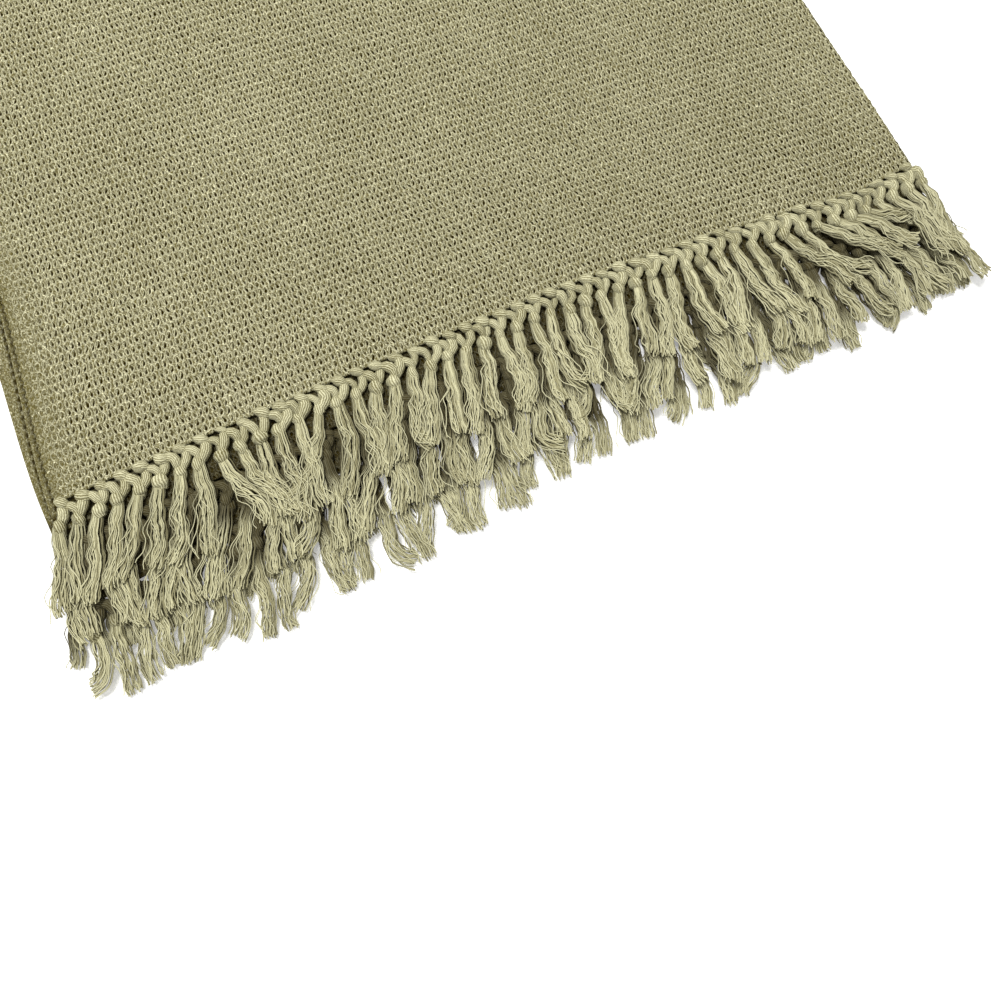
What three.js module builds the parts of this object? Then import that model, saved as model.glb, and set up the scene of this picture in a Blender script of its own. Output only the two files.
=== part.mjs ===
// A cotton throw blanket with a knotted fringe, folded twice and lying flat on a table.
// It is folded across its length first, so both fringed ends meet, and then along its length.
// Four layers of cloth lie on each other, and a row of fringe hangs out from each.
// Millimetres, +Z up. The fringe points to -Y, the cross fold lies at +Y, the long fold at +X.
import * as THREE from "three";

// The cloth as it comes off the loom, without its fringe. The long fold lies a little off its middle.
const UPPER_WIDTH = 650;
const LOWER_WIDTH = 661;
const CLOTH_LENGTH = 1700;
const CLOTH_THICKNESS = 2.6;

// How the folded layers lie on each other.
const LAYER_PITCH = 3.6;
const END_STAGGER = 29; // the second end reaches this much further out than the first
const SELVEDGE_SHIFT = 6; // the second end's selvedge lies this much further to the left
const LONG_FOLD_SKEW = THREE.MathUtils.degToRad(1.75); // the long fold leans to the left, going away
const FOLD_DRAW_IN = 9; // the long fold is drawn in by this much, away from the fringe
const DRAW_IN_LENGTH = 170;

// The unevenness of the heap, as shares of its height.
const FOLD_TROUGH = { share: 0.13, from_fold: 40, width: 22 };
const WAVES = [
  { share: 0.035, across: 620, away: 1300, start: 0.4 },
  { share: 0.03, across: -980, away: 760, start: 2.1 },
];

// How far the fringed edges bend away from a straight line, by the distance from the long fold.
const EDGE_LINE = [
  { from_fold: 0, away: 4 },
  { from_fold: 20, away: 2 },
  { from_fold: 40, away: 0 },
  { from_fold: 62, away: 0 },
  { from_fold: 100, away: 3 },
  { from_fold: 160, away: 7 },
  { from_fold: 230, away: 9.5 },
  { from_fold: 310, away: 10 },
  { from_fold: 390, away: 6 },
  { from_fold: 475, away: 2.5 },
  { from_fold: 560, away: -2.5 },
  { from_fold: 670, away: -11 },
];
const LEFT_FLARE = 11; // the left edges stand out by this much at the fringe
const FLARE_START = 390; // from the long fold
const BEND_LENGTH = 150; // bend and flare fade out over this length, away from the fringe

// The knotted net at each edge: two cords from neighbouring edge knots meet in each lock's knot.
const LOCKS_A_ROW = 48;
const ROW_START = 8; // from the long fold to the first edge knot
const ROW_END = 4; // from the last edge knot to the selvedge
const EDGE_GAP = 0.3; // from the cloth's edge to the backing strip
const STRIP_WIDTH = 4.6;
const GAP_REACH = 13; // the inner corner of each open triangle
const GAP_SIDE = 2.7; // from an edge knot's middle to the open triangles beside it
const NOTCH_REACH = 9.5; // where the cords below an edge knot part
const KNOT_REACH = 19; // where the cords end and the lock starts

// One lock below its knot: its size at four places from the knot to its cut end.
const LOCK_LENGTH = 57; // from its knot to its cut end
const LENGTH_SPREAD = 5; // how much longer or shorter a lock may be
const SIDE_SPREAD = 1.3; // how far a lock may stray to one side
const LOCK_PLACES = [
  { along: 0, width: 7, height: 2.6, stray: 0 },
  { along: 0.34, width: 8.2, height: 2.8, stray: 0.6 },
  { along: 0.67, width: 8.6, height: 3.4, stray: -0.4 },
  { along: 1, width: 7.4, height: 3.6, stray: 1 },
];

// How far the locks lean to the right, in degrees, by their place along the edge from the selvedge.
const LEAN = [
  { from_selvedge: 0, degrees: -34 },
  { from_selvedge: 60, degrees: -24 },
  { from_selvedge: 110, degrees: -12 },
  { from_selvedge: 170, degrees: -10 },
  { from_selvedge: 260, degrees: -13 },
  { from_selvedge: 400, degrees: -14 },
  { from_selvedge: 450, degrees: -8 },
  { from_selvedge: 510, degrees: 2 },
  { from_selvedge: 550, degrees: 15 },
  { from_selvedge: 595, degrees: 28 },
  { from_selvedge: 650, degrees: 18 },
];

// The rows of fringe from the top of the heap down. half -1 is above the long fold and 1 is below it.
// under lists the height of a lock's underside at its four places.
const ROWS = [
  { name: "fringe_top", half: -1, second_end: false, under: [10.8, 10.8, 11.4, 12.4] },
  { name: "fringe_second", half: -1, second_end: true, under: [7.2, 7.9, 8.6, 8.6] },
  { name: "fringe_third", half: 1, second_end: true, under: [3.6, 4.2, 4.4, 0] },
  { name: "fringe_bottom", half: 1, second_end: false, under: [0, 0, 0, 0] },
];

// Where the cloth's surface has its points.
const FROM_FOLD = [0, 20, 40, 62, 100, 160, 230, 310, 390, 475, 560];
const STEPS_AWAY = 11;
const STEPS_ROUND_LONG_FOLD = 6;
const STEPS_ROUND_CROSS_FOLD = 4;

const COTTON = { color: "#aca47d", roughness: 0.92, metalness: 0 };

// Worked out from the sizes above.
const CROSS_FOLD_RADIUS = LAYER_PITCH / 2;
const CROSS_FOLD_ARC = Math.PI * CROSS_FOLD_RADIUS;
const CROSS_FOLD_AWAY = (CLOTH_LENGTH - END_STAGGER - CROSS_FOLD_ARC) / 2;
const LONG_FOLD_RADIUS = LAYER_PITCH;
const LONG_FOLD_ARC = Math.PI * LONG_FOLD_RADIUS;
const MIDDLE_HEIGHT = 1.5 * LAYER_PITCH + CLOTH_THICKNESS / 2;
const SKEW_COS = Math.cos(LONG_FOLD_SKEW);
const SKEW_SIN = Math.sin(LONG_FOLD_SKEW);

// A repeatable number from -1 to 1 for lock i of a row.
function spread(i, row, kind) {
  const turn = Math.sin(i * 12.9898 + row * 78.233 + kind * 37.719) * 43758.5453;
  return 2 * (turn - Math.floor(turn)) - 1;
}

// The value of a table's second column at a place in its first, on straight lines between its rows.
function readTable(table, place, value, at) {
  const i = table.findIndex((row) => row[place] >= at);
  if (i <= 0) return table[i < 0 ? table.length - 1 : 0][value];
  const low = table[i - 1];
  const high = table[i];
  const share = (at - low[place]) / (high[place] - low[place]);
  return THREE.MathUtils.lerp(low[value], high[value], share);
}

// Presses the heap into its final form: its edges are drawn in, flare and bend, and its surface dips.
function settle(x, y, z) {
  const away = THREE.MathUtils.smoothstep(y, 0, DRAW_IN_LENGTH);
  const right = THREE.MathUtils.smoothstep(x, -UPPER_WIDTH, 0);
  const fromFold = -(x * SKEW_COS + y * SKEW_SIN);
  const near = 1 - THREE.MathUtils.smoothstep(y, 0, BEND_LENGTH);
  const left = THREE.MathUtils.smoothstep(fromFold, FLARE_START, UPPER_WIDTH);
  const pressedX = x - FOLD_DRAW_IN * away * right - LEFT_FLARE * near * left;
  const bentY = y + near * readTable(EDGE_LINE, "from_fold", "away", fromFold);
  const dip = Math.exp(-(((fromFold - FOLD_TROUGH.from_fold) / FOLD_TROUGH.width) ** 2));
  let share = 1 - FOLD_TROUGH.share * dip;
  for (const wave of WAVES) {
    const phase = 2 * Math.PI * (x / wave.across + y / wave.away) + wave.start;
    share += wave.share * Math.sin(phase);
  }
  return new THREE.Vector3(pressedX, bentY, z * share);
}

// Folds a slab point along the skewed long fold. s is the distance right of the fold on the flat slab,
// y the distance from the first end's edge, and rise the height above the slab's own middle.
function foldLong(s, y, rise) {
  const across = s * SKEW_COS + y * SKEW_SIN;
  const along = y * SKEW_COS - s * SKEW_SIN;
  const radius = LONG_FOLD_RADIUS + rise;
  const flat = Math.abs(across) - LONG_FOLD_ARC / 2;
  let out = -flat;
  let height = -Math.sign(across) * radius;
  if (flat < 0) {
    const angle = across / LONG_FOLD_RADIUS;
    out = radius * Math.cos(angle);
    height = -radius * Math.sin(angle);
  }
  const x = out * SKEW_COS - along * SKEW_SIN;
  const awayY = out * SKEW_SIN + along * SKEW_COS;
  return [x, awayY, MIDDLE_HEIGHT + height];
}

// A sheet of quads between two grids of points, closed along its four borders.
function closedSheet(outer, inner) {
  const rows = outer.length;
  const columns = outer[0].length;
  const points = [...outer.flat(), ...inner.flat()];
  const at = (side, i, j) => side * rows * columns + i * columns + j;
  const index = [];
  const quad = (a, b, c, d) => index.push(a, b, c, a, c, d);
  for (let i = 0; i + 1 < rows; i++) {
    for (let j = 0; j + 1 < columns; j++) {
      quad(at(0, i, j), at(0, i, j + 1), at(0, i + 1, j + 1), at(0, i + 1, j));
      quad(at(1, i, j), at(1, i + 1, j), at(1, i + 1, j + 1), at(1, i, j + 1));
    }
  }
  for (let i = 0; i + 1 < rows; i++) {
    quad(at(0, i + 1, 0), at(1, i + 1, 0), at(1, i, 0), at(0, i, 0));
    const j = columns - 1;
    quad(at(0, i, j), at(1, i, j), at(1, i + 1, j), at(0, i + 1, j));
  }
  for (let j = 0; j + 1 < columns; j++) {
    quad(at(0, 0, j), at(1, 0, j), at(1, 0, j + 1), at(0, 0, j + 1));
    const i = rows - 1;
    quad(at(0, i, j + 1), at(1, i, j + 1), at(1, i, j), at(0, i, j));
  }
  return { points, index };
}

// The folded cloth: each line of points runs across the width, from one selvedge round the long fold
// to the other, and the lines follow the length, from one end round the cross fold to the other.
function clothForm() {
  const lines = [];
  for (let i = 0; i <= STEPS_AWAY; i++) {
    const y = (CROSS_FOLD_AWAY * i) / STEPS_AWAY;
    lines.push({ y, angle: Math.PI / 2 });
  }
  for (let i = 1; i < STEPS_ROUND_CROSS_FOLD; i++) {
    lines.push({ y: CROSS_FOLD_AWAY, angle: Math.PI / 2 - (Math.PI * i) / STEPS_ROUND_CROSS_FOLD });
  }
  for (let i = 0; i <= STEPS_AWAY; i++) {
    const y = CROSS_FOLD_AWAY - ((CROSS_FOLD_AWAY + END_STAGGER) * i) / STEPS_AWAY;
    lines.push({ y, angle: -Math.PI / 2 });
  }
  const face = (offset) =>
    lines.map(({ y, angle }) => {
      const radius = CROSS_FOLD_RADIUS + offset;
      const lineY = y + radius * Math.cos(angle);
      const rise = radius * Math.sin(angle);
      const shift = angle < 0 ? (-SELVEDGE_SHIFT * (CROSS_FOLD_AWAY - y)) / CROSS_FOLD_AWAY : 0;
      return acrossPlaces(lineY, shift).map((s) => settle(...foldLong(s, lineY, rise)));
    });
  return closedSheet(face(CLOTH_THICKNESS / 2), face(-CLOTH_THICKNESS / 2));
}

// The places across the width where a line has its points, measured from the long fold.
function acrossPlaces(y, shift) {
  const lineAt = (across) => (across - y * SKEW_SIN) / SKEW_COS;
  const upper = FROM_FOLD.map((distance) => lineAt(-LONG_FOLD_ARC / 2 - distance));
  const lower = FROM_FOLD.map((distance) => lineAt(LONG_FOLD_ARC / 2 + distance));
  const round = [];
  for (let i = 1; i < STEPS_ROUND_LONG_FOLD; i++) {
    round.push(lineAt(LONG_FOLD_ARC * (i / STEPS_ROUND_LONG_FOLD - 0.5)));
  }
  return [-UPPER_WIDTH + shift, ...upper.reverse(), ...round, ...lower, LOWER_WIDTH + shift];
}

// One row of fringe: a backing strip with its net of cords, and a four-sided lock from each knot.
function fringeForm(row, rowNumber) {
  const points = [];
  const index = [];
  const edgeY = row.second_end ? -END_STAGGER : 0;
  const shift = row.second_end ? -SELVEDGE_SHIFT : 0;
  const width = row.half < 0 ? UPPER_WIDTH : LOWER_WIDTH;
  const pitch = (width - ROW_START - ROW_END) / LOCKS_A_ROW;

  // A point of the row, by its distance from the long fold, its reach from the edge and its height.
  const add = (fromFold, reach, height) => {
    const [x, y] = foldLong(row.half * fromFold + shift, edgeY - reach, 0);
    return points.push(settle(x, y, height)) - 1;
  };
  const above = row.under[0] + CLOTH_THICKNESS;
  const pair = (fromFold, reach) => ({
    up: add(fromFold, reach, above),
    down: add(fromFold, reach, row.under[0]),
  });
  const face = (a, b, c) => index.push(a, c, b);
  const plate = (a, b, c) => {
    face(a.up, b.up, c.up);
    face(a.down, c.down, b.down);
  };
  const wall = (a, b) => {
    face(a.up, a.down, b.up);
    face(b.up, a.down, b.down);
  };

  // Round a lock: left above, right above, right below, left below.
  const lockRing = (place, middle, reach, i) => {
    const low = row.under[i];
    const high = low + place.height;
    const half = place.width / 2;
    return [
      add(middle - half, reach, high),
      add(middle + half, reach, high),
      add(middle + half, reach, low),
      add(middle - half, reach, low),
    ];
  };

  const rootAt = (k) => ROW_START + k * pitch;
  const root = (k) => ({ back: pair(rootAt(k), EDGE_GAP), notch: pair(rootAt(k), NOTCH_REACH) });
  let before = root(0);
  wall(before.back, before.notch);
  for (let k = 0; k < LOCKS_A_ROW; k++) {
    const after = root(k + 1);
    const middle = rootAt(k + 0.5);
    const near = pair(rootAt(k) + GAP_SIDE, STRIP_WIDTH);
    const far = pair(rootAt(k + 1) - GAP_SIDE, STRIP_WIDTH);
    const tip = pair(middle, GAP_REACH);
    const half = LOCK_PLACES[0].width / 2;
    const start = pair(middle - half, KNOT_REACH);
    const end = pair(middle + half, KNOT_REACH);
    plate(before.back, near, after.back);
    plate(after.back, near, far);
    plate(before.back, before.notch, near);
    plate(after.back, far, after.notch);
    plate(before.notch, tip, near);
    plate(after.notch, far, tip);
    plate(before.notch, start, tip);
    plate(after.notch, tip, end);
    plate(tip, start, end);
    wall(after.back, before.back);
    wall(near, far);
    wall(far, tip);
    wall(tip, near);
    wall(before.notch, start);
    wall(end, after.notch);

    const degrees = readTable(LEAN, "from_selvedge", "degrees", width - middle);
    const lean = THREE.MathUtils.degToRad(degrees);
    const length = LOCK_LENGTH + LENGTH_SPREAD * spread(k, rowNumber, 1);
    const stray = SIDE_SPREAD * spread(k, rowNumber, 2);
    let ring = [start.up, end.up, end.down, start.down];
    LOCK_PLACES.slice(1).forEach((place, n) => {
      const reach = KNOT_REACH + length * place.along * Math.cos(lean);
      const side = middle - length * place.along * Math.sin(lean) + stray * place.stray;
      const next = lockRing(place, side, reach, n + 1);
      ring.forEach((_, c) => {
        const d = (c + 1) % ring.length;
        face(ring[c], next[c], next[d]);
        face(ring[c], next[d], ring[d]);
      });
      ring = next;
    });
    face(ring[0], ring[3], ring[2]);
    face(ring[0], ring[2], ring[1]);
    before = after;
  }
  wall(before.notch, before.back);
  return { points, index };
}

function mesh(name, form) {
  const geometry = new THREE.BufferGeometry().setFromPoints(form.points);
  geometry.setIndex(form.index);
  geometry.computeVertexNormals();
  const made = new THREE.Mesh(geometry, new THREE.MeshStandardMaterial(COTTON));
  made.name = name;
  return made;
}

const blanket = new THREE.Group();
blanket.add(mesh("blanket", clothForm()));
ROWS.forEach((row, i) => blanket.add(mesh(row.name, fringeForm(row, i + 1))));

// The origin is the middle of the underside of the whole heap.
const box = new THREE.Box3().setFromObject(blanket);
const middle = box.getCenter(new THREE.Vector3());
blanket.children.forEach((piece) => piece.position.set(-middle.x, -middle.y, -box.min.z));

export default blanket;
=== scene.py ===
# %% [markdown]
# # A folded cotton throw with a knotted fringe
# This lesson dresses a throw blanket that lies folded in four layers on a table. The CAD model
# already holds its folds and its true size, so every piece here starts from the same numbers and
# lands in the same place. We make the cloth and its finish first, then the four rows of fringe.

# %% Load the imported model
import math

import bpy
import numpy as np
from mathutils import Matrix, Vector


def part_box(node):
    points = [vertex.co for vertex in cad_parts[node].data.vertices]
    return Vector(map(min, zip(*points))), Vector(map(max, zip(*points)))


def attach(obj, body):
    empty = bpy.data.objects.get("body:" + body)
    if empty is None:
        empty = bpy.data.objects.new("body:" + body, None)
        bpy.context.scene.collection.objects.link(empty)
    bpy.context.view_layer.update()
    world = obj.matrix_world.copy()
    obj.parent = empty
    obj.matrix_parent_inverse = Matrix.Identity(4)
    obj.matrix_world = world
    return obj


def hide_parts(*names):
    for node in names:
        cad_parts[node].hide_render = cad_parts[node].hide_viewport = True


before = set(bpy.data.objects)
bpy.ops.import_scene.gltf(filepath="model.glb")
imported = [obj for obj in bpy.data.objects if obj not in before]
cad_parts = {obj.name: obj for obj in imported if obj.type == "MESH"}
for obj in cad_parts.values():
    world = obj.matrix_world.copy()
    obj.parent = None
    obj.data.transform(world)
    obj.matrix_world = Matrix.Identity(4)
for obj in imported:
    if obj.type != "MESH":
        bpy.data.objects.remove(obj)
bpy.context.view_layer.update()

# %% [markdown]
# ## The camera
# The photograph looks almost straight down from about 60 cm, turned a little, with the far and the
# left side of the throw cut off. A close camera with a wide lens gives the same perspective: the near
# fringe looks large and the rows of the weave draw together further away. We set the camera by its
# place, the point that it looks at and the direction on the table that is up in the picture.

# %% Place the camera
CAMERA_PLACE = Vector((-0.1289, -0.5507, 0.6058))
CAMERA_AIM = Vector((-0.0381, -0.4581, 0.0134))
UP_ON_TABLE = math.radians(23.14)  # from +Y towards +X
SENSOR_WIDTH = 36.0
FOCAL_LENGTH = 32.5

camera_data = bpy.data.cameras.new("camera")
camera_data.sensor_width = SENSOR_WIDTH
camera_data.lens = FOCAL_LENGTH
camera = bpy.data.objects.new("camera", camera_data)
bpy.context.scene.collection.objects.link(camera)
back = (CAMERA_PLACE - CAMERA_AIM).normalized()
right = Vector((math.sin(UP_ON_TABLE), math.cos(UP_ON_TABLE), 0)).cross(back).normalized()
up = back.cross(right)
turned = Matrix((right, up, back)).transposed()
camera.matrix_world = Matrix.Translation(CAMERA_PLACE) @ turned.to_4x4()
bpy.context.scene.camera = camera
print("camera height in metres:", round(CAMERA_PLACE.z, 3))

# %% [markdown]
# ## Helpers for materials
# Colours are given as sRGB hex values, the way a paint program shows them, and the shader wants
# linear light, so one function converts them. A second one adds any node with its settings and links,
# which keeps each material readable as a list of steps. A third starts a material, and a fourth adds up
# what several patterns give, each with its weight.

# %% Colour and node helpers
MATH = "ShaderNodeMath"


def linear(hex_colour):
    """An sRGB hex colour as linear red, green, blue and alpha."""
    values = [int(hex_colour[i : i + 2], 16) / 255 for i in (1, 3, 5)]
    return [v / 12.92 if v <= 0.04045 else ((v + 0.055) / 1.055) ** 2.4 for v in values] + [1.0]


def add_node(tree, kind, inputs=(), **settings):
    """Adds a node, sets its properties, and fills or links its inputs. They come as a list in order, or as
    a table by name or number, and a node among them stands for its first output."""
    made = tree.nodes.new(kind)
    for name, value in settings.items():
        setattr(made, name, value)
    table = inputs if isinstance(inputs, dict) else dict(enumerate(inputs))
    for key, value in table.items():
        source = value.outputs[0] if isinstance(value, bpy.types.Node) else value
        if isinstance(source, bpy.types.NodeSocket):
            tree.links.new(source, made.inputs[key])
        else:
            made.inputs[key].default_value = source
    return made


def start_material(name, values):
    """A new material, its node tree and its main shader, which gets the values."""
    made = bpy.data.materials.new(name)
    made.use_nodes = True
    shader = made.node_tree.nodes["Principled BSDF"]
    for key, value in values.items():
        shader.inputs[key].default_value = value
    return made, made.node_tree, shader


def add_up(tree, start, parts):
    """The sum of a start value and of parts, each with its weight."""
    total = start
    for part, weight in parts:
        total = add_node(tree, MATH, (part, weight, total), operation="MULTIPLY_ADD")
    return total


print("middle grey as linear light:", round(linear("#808080")[0], 3))

# %% [markdown]
# ## Floor and light
# The throw was photographed on white under soft, even light. A large pale board, a bright white world
# and one wide lamp give that look: shade gathers only between the layers and in the gaps of the net.

# %% Make the floor and the lamp
WHITE = "#ffffff"
BOARD_WHITE = "#f6f6f4"
BOARD_HALF = 4.0
BOARD_DROP = 0.0003  # so that it does not share a plane with the lowest cloth
BOARD_GLOW = 0.3
WORLD_STRENGTH = 0.5
LAMP_PLACE = Vector((-0.5, 0.5, 2.6))
LAMP_AIM = Vector((0, -0.3, 0))
LAMP_SIZE = 0.9
LAMP_POWER = 82

board_corners = [(x * BOARD_HALF, y * BOARD_HALF, 0) for x, y in ((-1, -1), (1, -1), (1, 1), (-1, 1))]
floor_mesh = bpy.data.meshes.new("floor")
floor_mesh.from_pydata(board_corners, [], [(0, 1, 2, 3)])
floor = bpy.data.objects.new("floor", floor_mesh)
floor.location.z = -BOARD_DROP
bpy.context.scene.collection.objects.link(floor)
board_values = {
    "Base Color": linear(BOARD_WHITE),
    "Roughness": 0.8,
    "Emission Color": linear(WHITE),
    "Emission Strength": BOARD_GLOW,
}
white_board, _, _ = start_material("white_board", board_values)
floor_mesh.materials.append(white_board)

studio = bpy.data.worlds.new("studio")
studio.use_nodes = True
studio.node_tree.nodes["Background"].inputs["Color"].default_value = linear(WHITE)
studio.node_tree.nodes["Background"].inputs["Strength"].default_value = WORLD_STRENGTH
bpy.context.scene.world = studio
bpy.context.scene.view_settings.view_transform = "Standard"

lamp_data = bpy.data.lights.new("soft_lamp", "AREA")
lamp_data.size = LAMP_SIZE
lamp_data.energy = LAMP_POWER
lamp = bpy.data.objects.new("soft_lamp", lamp_data)
lamp.location = LAMP_PLACE
lamp.rotation_euler = (LAMP_AIM - LAMP_PLACE).to_track_quat("-Z", "Y").to_euler()
bpy.context.scene.collection.objects.link(lamp)
print("lamp power in watts:", lamp_data.energy)

# %% [markdown]
# ## How the cloth is folded
# A throw is folded twice: first across its length, so that its two fringed ends meet, and then along
# its length. One could press four layers flat by simulation, but a fold is only a bend with a radius, so
# we write it down: a place on the flat cloth goes round the cross fold and then round the long fold.
# These are the sizes and formulas of the CAD model, in millimetres, so the cloth fits its solid.

# %% Sizes of the cloth and its folds
UPPER_WIDTH = 650.0  # from the long fold to the upper selvedge
LOWER_WIDTH = 661.0
CLOTH_LENGTH = 1700.0
CLOTH_THICKNESS = 2.6
LAYER_PITCH = 3.6
END_STAGGER = 29.0  # the second end reaches this much further out than the first
SELVEDGE_SHIFT = 6.0  # the second end's selvedge lies this much further to the left
LONG_FOLD_SKEW = math.radians(1.75)
FOLD_DRAW_IN = 9.0
DRAW_IN_LENGTH = 170.0
FOLD_TROUGH = {"share": 0.13, "from_fold": 40.0, "width": 22.0}
WAVES = [
    {"share": 0.035, "across": 620.0, "away": 1300.0, "start": 0.4},
    {"share": 0.03, "across": -980.0, "away": 760.0, "start": 2.1},
]
EDGE_FROM_FOLD = [0, 20, 40, 62, 100, 160, 230, 310, 390, 475, 560, 670]
EDGE_AWAY = [4, 2, 0, 0, 3, 7, 9.5, 10, 6, 2.5, -2.5, -11]  # how the fringed edges bend
LEFT_FLARE = 11.0  # the left edges stand out by this much at the fringe
FLARE_START = 390.0
BEND_LENGTH = 150.0

HALF_THICKNESS = CLOTH_THICKNESS / 2
CROSS_FOLD_RADIUS = LAYER_PITCH / 2
CROSS_FOLD_ARC = math.pi * CROSS_FOLD_RADIUS
CROSS_FOLD_AWAY = (CLOTH_LENGTH - END_STAGGER - CROSS_FOLD_ARC) / 2
LONG_FOLD_RADIUS = LAYER_PITCH
LONG_FOLD_ARC = math.pi * LONG_FOLD_RADIUS
MIDDLE_HEIGHT = 1.5 * LAYER_PITCH + HALF_THICKNESS
SKEW_COS = math.cos(LONG_FOLD_SKEW)
SKEW_SIN = math.sin(LONG_FOLD_SKEW)
print("the cross fold starts this far from the first end, in mm:", round(CROSS_FOLD_AWAY, 1))


# %% The folds as formulas
def smooth(value, low, high):
    """0 below low, 1 above high, and a soft step between them."""
    t = np.clip((value - low) / (high - low), 0, 1)
    return t * t * (3 - 2 * t)


def settle(x, y, z):
    """Presses the heap into its final form: its edges are drawn in, flare and bend, its surface dips."""
    from_fold = -(x * SKEW_COS + y * SKEW_SIN)
    near = 1 - smooth(y, 0, BEND_LENGTH)
    drawn = x - FOLD_DRAW_IN * smooth(y, 0, DRAW_IN_LENGTH) * smooth(x, -UPPER_WIDTH, 0)
    drawn = drawn - LEFT_FLARE * near * smooth(from_fold, FLARE_START, UPPER_WIDTH)
    bent = y + near * np.interp(from_fold, EDGE_FROM_FOLD, EDGE_AWAY)
    dip = np.exp(-(((from_fold - FOLD_TROUGH["from_fold"]) / FOLD_TROUGH["width"]) ** 2))
    share = 1 - FOLD_TROUGH["share"] * dip
    for wave in WAVES:
        phase = 2 * math.pi * (x / wave["across"] + y / wave["away"]) + wave["start"]
        share = share + wave["share"] * np.sin(phase)
    return np.stack(np.broadcast_arrays(drawn, bent, z * share), axis=-1)


def fold_long(s, y, rise):
    """Bends a place of the slab round the long fold: s lies right of the fold, y away from the edge."""
    across = s * SKEW_COS + y * SKEW_SIN
    along = y * SKEW_COS - s * SKEW_SIN
    radius = LONG_FOLD_RADIUS + rise
    past = np.maximum(np.abs(across) - LONG_FOLD_ARC / 2, 0)
    angle = np.clip(across / LONG_FOLD_RADIUS, -math.pi / 2, math.pi / 2)
    out = radius * np.cos(angle) - past
    height = MIDDLE_HEIGHT - radius * np.sin(angle)
    return out * SKEW_COS - along * SKEW_SIN, out * SKEW_SIN + along * SKEW_COS, height


def heap_places(s, p, offset):
    """Folds places of the flat cloth: s across from the long fold, p along from the first end."""
    turn = np.clip((p - CROSS_FOLD_AWAY) / CROSS_FOLD_RADIUS, 0, math.pi)
    back_again = np.maximum(p - CROSS_FOLD_AWAY - CROSS_FOLD_ARC, 0)
    radius = CROSS_FOLD_RADIUS + offset
    line_y = np.minimum(p, CROSS_FOLD_AWAY) - back_again + radius * np.sin(turn)
    shift = -SELVEDGE_SHIFT * back_again / CROSS_FOLD_AWAY
    return fold_long(s + shift, line_y, radius * np.cos(turn))


print("the long fold's edge lies this high, in mm:", round(float(fold_long(0.0, 0.0, 0.0)[2]), 2))

# %% From the fold's frame to the row frame
corner_s, corner_p, corner_offset = np.meshgrid(
    [-UPPER_WIDTH, LOWER_WIDTH],
    [0, CROSS_FOLD_AWAY + CROSS_FOLD_ARC / 2, CLOTH_LENGTH],
    [-HALF_THICKNESS, HALF_THICKNESS],
)
corner_low = settle(*heap_places(corner_s, corner_p, corner_offset)).reshape(-1, 3).min(axis=0)
TO_ROW = np.array(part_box("blanket")[0]) * 1000 - corner_low
TO_ROW[2] = 0


def in_row_frame(points):
    """Millimetres of the fold's own frame as metres of the row frame."""
    return (points + TO_ROW) / 1000


print("the fold's frame lies this far off, in mm:", TO_ROW.round(2))

# %% [markdown]
# ## The weave as relief
# The cloth looks knitted, but it is a woven cell cloth: thick weft ridges run across, short warp pillars
# run along, and between them lies a lattice of small upright pits. A texture alone would stay flat at the
# edges, so the top layer, the one that is seen, has real relief: two points a cell each way, high where
# pillar and ridge cross and deep in the pits, no two pits alike. Layers that lie hidden have few points.

# %% Lay out the points of the flat cloth
CELL_WIDTH = 4.09
ROW_PITCH = 5.8
TOP_CELLS = 159
TOP_ROWS = 130
SELVEDGE_WIDTH = 5.6  # a smooth rolled band without cells
SELVEDGE_PLACES = [0, 0.5, 1.3, 2.6, 4.1]
FIRST_RIDGE = 2.4
EDGE_PLACES = [0, 0.5, 1.3]

cells_start = -UPPER_WIDTH + SELVEDGE_WIDTH
half_cells = cells_start + np.arange(2 * TOP_CELLS + 1) * CELL_WIDTH / 2
half_rows = FIRST_RIDGE + np.arange(2 * TOP_ROWS + 1) * ROW_PITCH / 2
dense_s = np.concatenate([-UPPER_WIDTH + np.array(SELVEDGE_PLACES), half_cells])
dense_p = np.concatenate([EDGE_PLACES, half_rows])
flat_s, flat_p = np.meshgrid(dense_s, dense_p)
from_edge = flat_s + UPPER_WIDTH
print("top layer:", len(dense_s), "by", len(dense_p), "points")

# %% The relief of the top layer
CROSSING = (0.25, 0.12)  # the mean height and its spread
RIDGE = (-0.25, 0.18)
PILLAR = (0.05, 0.16)
PIT_DEPTH = (0.2, 0.9)  # the least and the most
SELVEDGE_SHARE = 0.3  # of the relief that is left beside the selvedge
SELVEDGE_FADE = 20.0
FOLD_FADE = (-2.0, 4.0)

weave_seed = np.random.default_rng(41)
relief = np.zeros_like(flat_s)
cell_relief = relief[len(EDGE_PLACES) :, len(SELVEDGE_PLACES) :]
crossings = cell_relief[::2, ::2]
crossings += weave_seed.normal(*CROSSING, crossings.shape)
ridges = cell_relief[::2, 1::2]
ridges += weave_seed.normal(*RIDGE, ridges.shape)
pillars = cell_relief[1::2, ::2]
pillars += weave_seed.normal(*PILLAR, pillars.shape)
pits = cell_relief[1::2, 1::2]
pits -= weave_seed.uniform(*PIT_DEPTH, pits.shape)
into_cells = smooth(flat_s, cells_start, cells_start + SELVEDGE_FADE)
relief *= SELVEDGE_SHARE + (1 - SELVEDGE_SHARE) * into_cells
relief *= 1 - smooth(flat_s * SKEW_COS + flat_p * SKEW_SIN, *FOLD_FADE)  # none below the long fold
print("deepest pit in mm:", relief.min().round(2))

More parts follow.
